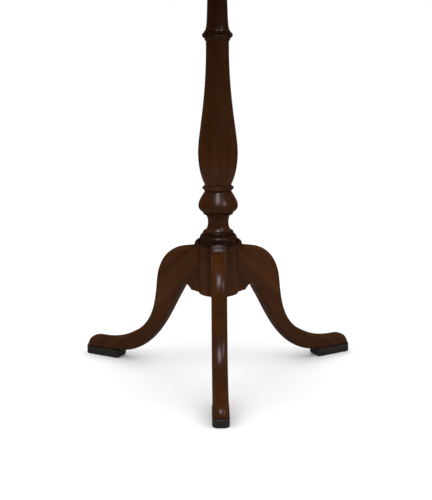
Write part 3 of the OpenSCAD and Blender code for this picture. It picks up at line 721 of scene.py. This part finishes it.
def makePillar():
    p = pillar
    length = blockFoot - drumTop
    neckZ, ballZ, ringZ, vaseZ, collarZ = (
        drumTop + p[key] * length for key in ("neckAt", "ballAt", "ringAt", "vaseAt", "collarAt"))
    r, foot, tip = p["drumRadius"], p["footRound"], p["tenonRound"]
    profile = [(0, drumFoot), (r - foot, drumFoot)] + arc((r - foot, drumFoot + foot), foot, -70, 0, 5)
    profile += footMoulding(r, drumTop)
    profile += neckCurve(r, p["neckRadius"], drumTop, neckZ)
    profile += ballCurve(p["neckRadius"], p["ballRadius"], p["waistRadius"], ballZ, ringZ)
    profile += arc((p["ringRadius"] - 1, ringZ), 1, -50, 50, 8)
    profile += vaseCurve(p["waistRadius"], p["vaseRadius"], p["shaftRadius"], ringZ, vaseZ, collarZ,
                         length)
    profile += collarCurve(p["shaftRadius"], p["collarRadius"], p["shaftTopRadius"], collarZ)
    profile += capitalCurve(p["shaftTopRadius"], p["capitalRadius"], blockFoot)
    profile += [(p["tenonRadius"], blockFoot), (p["tenonRadius"], tenonTop - tip),
                (p["tenonRadius"] - tip, tenonTop), (0, tenonTop)]
    bm = bmesh.new()
    lathe(bm, profile)
    piece = makeObject("pillarTurned", bm)
    for turn in legTurns.values():
        carve(piece, prism("tailSlot", tailOutline(p["glue"]), drumFoot - 1,
                           drumFoot + p["tailHeight"] + p["glue"], math.radians(turn)))
    kerfFoot, kerfTop = lowest("tenon_wedge", 2), tenonTop + 1  # the cut runs out past the tenon
    half = p["tenonRadius"] + 2
    bm = bmesh.new()
    rows = []
    for x in (-half, half):
        rows.append([(x * mm, y * mm, z * mm) for y, z in (
            (-p["kerfFoot"] / 2, kerfFoot), (p["kerfFoot"] / 2, kerfFoot),
            (p["kerfTop"] / 2, kerfTop), (-p["kerfTop"] / 2, kerfTop))])
    loft(bm, rows)
    carve(piece, makeObject("kerf", bm))
    setGrain(piece, (0, 0, 1), p["plank"])
    heights = {"drum": drumTop, "neck": neckZ, "ball": ballZ, "ring": ringZ, "vase": vaseZ,
               "collar": collarZ, "block": blockFoot}
    # painted shade in bands along the column
    setDarkening(piece, [(heights[low] + down, heights[high] + up, amount, fade)
                   for (low, down), (high, up), amount, fade in p["darkening"]])
    dress(piece, "pillar", mahoganyPolish)


makePillar()
print("pillar turned")


leg = {  # in mm
    "thickness": 23,
    "outerRound": 8, "outerPower": 2.2,  # depth and fullness of the rounding along the outer face
    "innerRound": 2.6, "innerPower": 2.4,
    "fullest": 0.96,  # share of a thin section's height that its roundings may take
    "toeCorner": 0.36,  # share of the thickness
    "crispness": (0.3, 5),  # share of the rounding beside the drum, and how fast it grows outwards
    "outerSteps": 20, "innerSteps": 14, "sideSteps": 4, "pathSteps": 60, "pathPoints": 1200,
    "kneeReach": 105.5, "toeHeight": 18, "shelf": 11, "lap": 6, "thinnest": 0.4,
    "grainFall": 43,  # degrees the grain falls outwards
    "planks": {"front": (0.1, 0.04, 0.02), "right": (0.7, 0.31, 0.12), "left": (1.3, 0.53, 0.33)},
    "darker": {"front": 0.14, "right": 0, "left": 0},  # a darkening over the whole leg, given only to the front one
    "darkerFade": 5,
    # bands of painted shade, darker towards the floor and under the drum's moulding: from and to in mm of
    # height, how much, and the length of its fading
    "floorShade": (-60, 105, 0.42, 65),
    "drumShade": (-9, 30, 0.6, 7),  # from and to are past the drum's top
}
# matched points of the upper and lower outlines, reach and height in mm, and the sections from there on
legStations = [
    ((30, 210), (30, 128.5), 10), ((43.5, 198), (41, 128.5), 5), ((58, 195.2), (52, 137.2), 10),
    ((89.4, 178), (62.5, 126), 10), ((105.5, 139.5), (74, 105.8), 8), ((109, 113), (83.5, 88), 8),
    ((115.5, 87), (96.5, 67), 8), ((129.5, 64), (114.5, 43.5), 8), ((151.3, 46.8), (141, 22), 8),
    ((182, 33.5), (165, 14.6), 6), ((207.5, 30.5), (190, 12.5), 18), ((237.2, 12.5), (237.2, 12.5), 0),
]


def legOutlines():
    r, knee, foot = pillar["drumRadius"], leg["kneeReach"], drumFoot
    top = drumTop + leg["lap"]
    toe = -lowest("leg_front", 1)
    span = -lowest("foot_pad_front", 1) - r
    pad = highest("foot_pad_front", 2)
    heel = -highest("foot_pad_front", 1)
    instep = pad + leg["toeHeight"]

    def shin(u, v):  # u runs from the drum to the toe, v from the floor to the drum
        return (r + u * span, v * foot)

    fine = leg["pathSteps"]
    # up to the drum's moulding, over the knee, down the shin and along the foot
    upper = [(r, top)] + bezier((r + 3, top), (r + 6, top - 7.4), (r + 7, top - 11.2),
                                (r + 13.5, top - 12), fine)
    upper += bezier((knee - 47.5, top - 14.8), (knee - 22, top - 19), (knee - 4, top - 37),
                    (knee, foot + 11), fine)
    upper += bezier((knee, foot + 11), (knee + 3.5, 0.808 * foot), shin(0.4, 0.51),
                    shin(0.583, 0.36), fine)[1:]
    upper += bezier(shin(0.583, 0.36), shin(0.66, 0.288), (toe - 54, instep + 1),
                    (toe - 30, instep), fine)[1:]
    upper += bezier((toe - 22, instep), (toe - 10, instep), (toe - 1.5, instep - 6), (toe, pad), fine)
    # the shelf under the drum, its bracket, and down to the heel
    shelf = r + leg["shelf"]
    lower = [(r, foot)] + bezier((shelf, foot), (shelf + 8, foot + 11), (shelf + 15, foot + 13),
                                 (shelf + 21, foot - 1.5), fine)
    lower += bezier(shin(0.212, 0.823), shin(0.315, 0.511), shin(0.451, 0.087), (heel + 1, pad + 1.2),
                    fine)
    lower += [(heel + 2, pad), (toe, pad)]
    return resample(upper, leg["pathPoints"]), resample(lower, leg["pathPoints"]), toe


def sectionPoints(height, share):  # one cross-section: across, and up from the inner face, in mm
    half = leg["thickness"] / 2
    crisp, growth = leg["crispness"]
    grown = min(1, crisp + share * growth)
    outer, inner = leg["outerRound"] * grown, leg["innerRound"] * grown
    squeeze = min(1, leg["fullest"] * height / (outer + inner))  # near the toe both roundings shrink to fit
    outer, inner = outer * squeeze, inner * squeeze
    outerSteps, innerSteps, sides = leg["outerSteps"], leg["innerSteps"], leg["sideSteps"]
    points = []
    for i in range(outerSteps + 1):
        w = math.pi * i / outerSteps
        c, s = math.cos(w), math.sin(w)
        y = half * math.copysign(abs(c) ** (2 / leg["outerPower"]), c)
        points.append((y, height - outer + outer * s ** (2 / leg["outerPower"])))
    for i in range(1, sides):
        points.append((-half, height - outer - (height - outer - inner) * i / sides))
    for i in range(innerSteps + 1):
        w = math.pi + math.pi * i / innerSteps
        c, s = math.cos(w), math.sin(w)
        y = half * math.copysign(abs(c) ** (2 / leg["innerPower"]), c)
        points.append((y, inner - inner * abs(s) ** (2 / leg["innerPower"])))
    for i in range(1, sides):
        points.append((half, inner + (height - outer - inner) * i / sides))
    return points


def toeWidth(x, toe):  # how much of the thickness is left at this reach
    corner = leg["toeCorner"] * leg["thickness"]
    into = min(max(x - (toe - corner), 0), corner)
    half = leg["thickness"] / 2
    return (half - corner + math.sqrt(corner ** 2 - into ** 2)) / half


def legRings():
    upper, lower, toe = legOutlines()
    r = pillar["drumRadius"]

    def nearest(path, place):
        return min(range(len(path)), key=lambda k: math.dist(path[k], place))

    spots = [(nearest(upper, a), nearest(lower, b), count) for a, b, count in legStations]
    rings = []
    for (u, v, count), (uNext, vNext, _) in zip(spots, spots[1:]):
        highs = resample(upper[u:uNext + 1], count)
        lows = resample(lower[v:vNext + 1], count)
        first = 0 if not rings else 1
        for high, low in list(zip(highs, lows))[first:]:
            height = math.dist(high, low)
            if height < leg["thinnest"]:
                continue
            up = ((high[0] - low[0]) / height, (high[1] - low[1]) / height)
            ring = []
            for y, s in sectionPoints(height, (high[0] - r) / (toe - r)):
                x, z = low[0] + up[0] * s, low[1] + up[1] * s
                y *= toeWidth(x, toe)
                ring.append([x, y, z])
            rings.append(ring)
    seat = pillar["drumRadius"] + pillar["glue"]
    for point in rings[0]:  # the inner end fits the drum
        point[0] = math.sqrt(seat ** 2 - point[1] ** 2)
    return [[(x * mm, y * mm, z * mm) for x, y, z in ring] for ring in rings]


def makeLeg(side, rings):
    node = "leg_" + side
    turn = math.radians(legTurns[side])
    bm = bmesh.new()
    loft(bm, rings)
    bmesh.ops.rotate(bm, verts=bm.verts, matrix=Matrix.Rotation(turn, 3, "Z"))
    piece = makeObject("carvedLeg_" + side, bm)
    tail = prism("tail", tailOutline(0), drumFoot, drumFoot + pillar["tailHeight"], turn)
    carve(piece, tail, "UNION")
    fall = math.radians(leg["grainFall"])
    out = math.cos(fall)
    setGrain(piece, (out * math.cos(turn), out * math.sin(turn), -math.sin(fall)), leg["planks"][side])
    # painted shade towards the floor and under the drum's moulding, and the front leg's darkening
    low, high, amount, fade = leg["drumShade"]
    setDarkening(piece, (leg["floorShade"], (drumTop + low, drumTop + high, amount, fade),
                   (0, drumTop + high, leg["darker"][side], leg["darkerFade"])))
    dress(piece, node, mahoganyPolish, 40)


carvedRings = legRings()
for side in legTurns:
    makeLeg(side, carvedRings)
print("legs carved")


pad = {"lip": 0.8, "heelRise": 3, "heelRun": 2, "round": 0.9, "arrisAngle": 0.4}  # in mm and radians


def makePad(side):
    node = "foot_pad_" + side
    low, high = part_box("foot_pad_front")  # the front pad lies along -Y, and the others are the same
    heel, reach, height = -high.y / mm, -low.y / mm, high.z / mm
    width = leg["thickness"] + 2 * pad["lip"]
    corner = leg["toeCorner"] * width
    half = width / 2
    plan = [(None, -half)] + arc((reach - corner, corner - half), corner, -90, 0, 12)
    plan += arc((reach - corner, half - corner), corner, 0, 90, 12) + [(None, half)]
    rings = []
    for z, start in ((0, heel + pad["heelRun"]), (pad["heelRise"], heel), (height, heel)):
        rings.append([((start if x is None else x) * mm, y * mm, z * mm) for x, y in plan])
    bm = bmesh.new()
    loft(bm, rings)
    bmesh.ops.dissolve_limit(bm, angle_limit=math.radians(0.5), verts=bm.verts, edges=bm.edges)
    arrises = [e for e in bm.edges if len(e.link_faces) == 2 and e.calc_face_angle() > pad["arrisAngle"]]
    bmesh.ops.bevel(bm, geom=arrises, offset=pad["round"] * mm, segments=3, profile=0.5, affect="EDGES",
                    clamp_overlap=True)
    turn = math.radians(legTurns[side])
    bmesh.ops.rotate(bm, verts=bm.verts, matrix=Matrix.Rotation(turn, 3, "Z"))
    piece = makeObject("pad_" + side, bm)
    setGrain(piece, (math.cos(turn), math.sin(turn), 0), (0.2 * turn, 0.1, 0))
    dress(piece, node, nearBlackWood, 40)


for side in legTurns:
    makePad(side)
print("pads made")


board = {  # in mm, but the grain's offsets are in metres
    "rimRound": 7, "rimFlat": 5, "rimStep": 2, "lipIn": 2.6, "underRound": 5, "underIn": 7, "rimSteps": 240,
    "offsets": ((0.05, 0.02, 0.01), (0.9, 0.33, 0.06), (1.7, 0.71, 0.03)),
}
boardNames = ("front", "middle", "back")
underside = lowest("top_board_middle", 2)
tableTop = highest("top_board_middle", 2)


def rimProfile(radius):
    b = board
    shoulder = tableTop - b["rimStep"]
    lip = radius - b["rimRound"] - b["rimFlat"] + b["lipIn"]
    under = radius - b["underIn"]
    return (
        [(0, underside), (0.5 * radius, underside), (under, underside)]
        + arc((under, underside + b["underRound"]), b["underRound"], -90, -40, 10)[1:]
        + arc((radius - b["rimRound"], shoulder - b["rimRound"]), b["rimRound"], -30, 90, 26)
        + [(lip + 0.7, shoulder), (lip + 0.3, shoulder + 0.3), (lip + 0.1, tableTop - 0.5),
           (lip - 0.15, tableTop - 0.15), (lip - 0.5, tableTop), (0.7 * radius, tableTop),
           (0.4 * radius, tableTop), (0, tableTop)]
    )


def cutAway(bm, y, keepBelow):  # a clean saw cut across the round at y
    geometry = bm.verts[:] + bm.edges[:] + bm.faces[:]
    bmesh.ops.bisect_plane(bm, geom=geometry, dist=1e-6, plane_co=(0, y, 0), plane_no=(0, 1, 0),
                           clear_outer=keepBelow, clear_inner=not keepBelow)
    rim = [e for e in bm.edges if e.is_boundary]
    bmesh.ops.edgeloop_fill(bm, edges=rim)


def makeBoard(number):
    node = "top_board_" + boardNames[number]
    radius = highest("top_board_middle", 0)
    low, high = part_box(node)
    bm = bmesh.new()
    lathe(bm, rimProfile(radius), board["rimSteps"])
    if number > 0:
        cutAway(bm, low.y, False)
    if number < 2:
        cutAway(bm, high.y, True)
    piece = makeObject("board_" + boardNames[number], bm)
    setGrain(piece, (1, 0, 0), board["offsets"][number])
    dress(piece, node, mahoganyPolish)
    # the flat undersides take the unpolished wood with its painted light
    piece.data.materials.append(mahoganyUndersidePaintedLight)
    for face in piece.data.polygons:
        if face.normal.z < -0.99:
            face.material_index = 1


for number in range(3):
    makeBoard(number)
print("top boards made")


def makeUnderside():
    parts = {  # node: (name, rounding, grain direction, offset)
        "block": ("planedBlock", 1.0, (1, 0, 0), (0.4, 0.2, 0.3)),
        "bearer_left": ("bearerPlaned_left", 0.9, (0, 1, 0), (0.1, 0.5, 0.2)),
        "bearer_right": ("bearerPlaned_right", 0.9, (0, 1, 0), (0.8, 0.1, 0.6)),
    }
    for node, (name, width, along, offset) in parts.items():
        piece = softened(name, node, width)
        setGrain(piece, along, offset)
        dress(piece, node, mahoganyUndersidePaintedLight)
    wedge = softened("wedgeSplit", "tenon_wedge", 0.2)
    setGrain(wedge, (0, 0, 1), (0.6, 0.4, 0.1))
    dress(wedge, "tenon_wedge", mahoganyUndersidePaintedLight)


makeUnderside()
print("block and bearers planed")


def makeMetalwork():
    parts = {  # node: (name, rounding, material, slot)
        "spider_plate": ("forgedSpider", 0.35, blackIron, "iron"),
        "pivot_pin_left": ("pivot_left", 0.45, dullSteel, "steel"),
        "pivot_pin_right": ("pivot_right", 0.45, dullSteel, "steel"),
        "keeper_plate": ("keeperBrass", 0.2, agedBrass, "brass"),
        "catch_plate": ("catchPlateBrass", 0.3, agedBrass, "brass"),
        "catch_case": ("catchCaseBrass", 0.3, agedBrass, "brass"),
        "catch_bolt": ("boltBrass", 0.25, agedBrass, "brass"),
    }
    for node, (name, width, material, slot) in parts.items():
        dress(softened(name, node, width), node, material)
    for node in ("keeper_screws", "catch_screws"):
        frame["nodes"][node].data.materials[0] = agedBrass
    for node in ("spider_screws", "bearer_screws"):
        frame["nodes"][node].data.materials[0] = dullSteel


makeMetalwork()
knob = {"stemRadius": 2.1, "ballRadius": 6.5, "flange": 3.5, "pinRadius": 2, "shoulder": 2.5}  # in mm


def makeKnob():
    low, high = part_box("catch_knob")
    bottom, top = low.z / mm, high.z / mm
    caseLow = lowest("catch_case", 2)
    r, stem, flange = knob["ballRadius"], knob["stemRadius"], knob["flange"]
    pin, shoulder = knob["pinRadius"], knob["shoulder"]
    boltMiddle = (lowest("catch_bolt", 2) + highest("catch_bolt", 2)) / 2
    profile = [(0, bottom)] + arc((0, bottom + r), r, -80, 62, 32)
    profile += bezier(profile[-1], (stem + 0.5, caseLow - 5), (stem, caseLow - 4.4),
                      (stem, caseLow - 3), 8)[1:]
    profile += arc((flange - 0.6, caseLow - 1.5), 0.6, -90, 90, 8)
    profile += [(shoulder, caseLow - 0.6), (shoulder, boltMiddle - 2.5), (pin, boltMiddle - 2.5),
                (pin, top - 0.2), (pin - 0.2, top), (0, top)]
    bm = bmesh.new()
    lathe(bm, profile, 64)
    middle = (low + high) / 2
    bmesh.ops.translate(bm, verts=bm.verts, vec=(0, middle.y, 0))
    dress(makeObject("knobTurned", bm), "catch_knob", agedBrass)


makeKnob()
spring = {"wire": 0.4, "turns": 9, "deadTurns": 0.9, "sides": 10, "stepsPerTurn": 28}  # wire radius in mm


def makeSpring():
    low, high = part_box("catch_spring")
    wire = spring["wire"] * mm
    coil = (high.x - low.x) / 2 - wire
    centre = (low + high) / 2
    turns, dead = spring["turns"], spring["deadTurns"]
    front, back = low.y + wire, high.y - wire
    live = (back - front) - 2 * dead * 2 * wire
    rings = []
    count = turns * spring["stepsPerTurn"]
    for i in range(count + 1):
        at = turns * i / count  # in turns: the first and last lie flat against their neighbours
        flat = min(at, dead) + max(at - (turns - dead), 0)
        y = front + 2 * wire * flat + live * (at - flat) / (turns - 2 * dead)
        w = 2 * math.pi * at
        out = Vector((math.cos(w), 0, math.sin(w)))
        middle = Vector((centre.x, y, centre.z)) + coil * out
        ring = []
        for k in range(spring["sides"]):
            a = 2 * math.pi * k / spring["sides"]
            ring.append(middle + wire * (math.cos(a) * out + math.sin(a) * Vector((0, 1, 0))))
        rings.append(ring)
    bm = bmesh.new()
    loft(bm, rings)
    piece = makeObject("springWound", bm)
    piece.data.shade_smooth()
    piece.data.set_sharp_from_angle(angle=math.radians(50))
    piece.data.materials.append(dullSteel)
    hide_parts("catch_spring")
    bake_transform(piece)


makeSpring()
print("metalwork made")
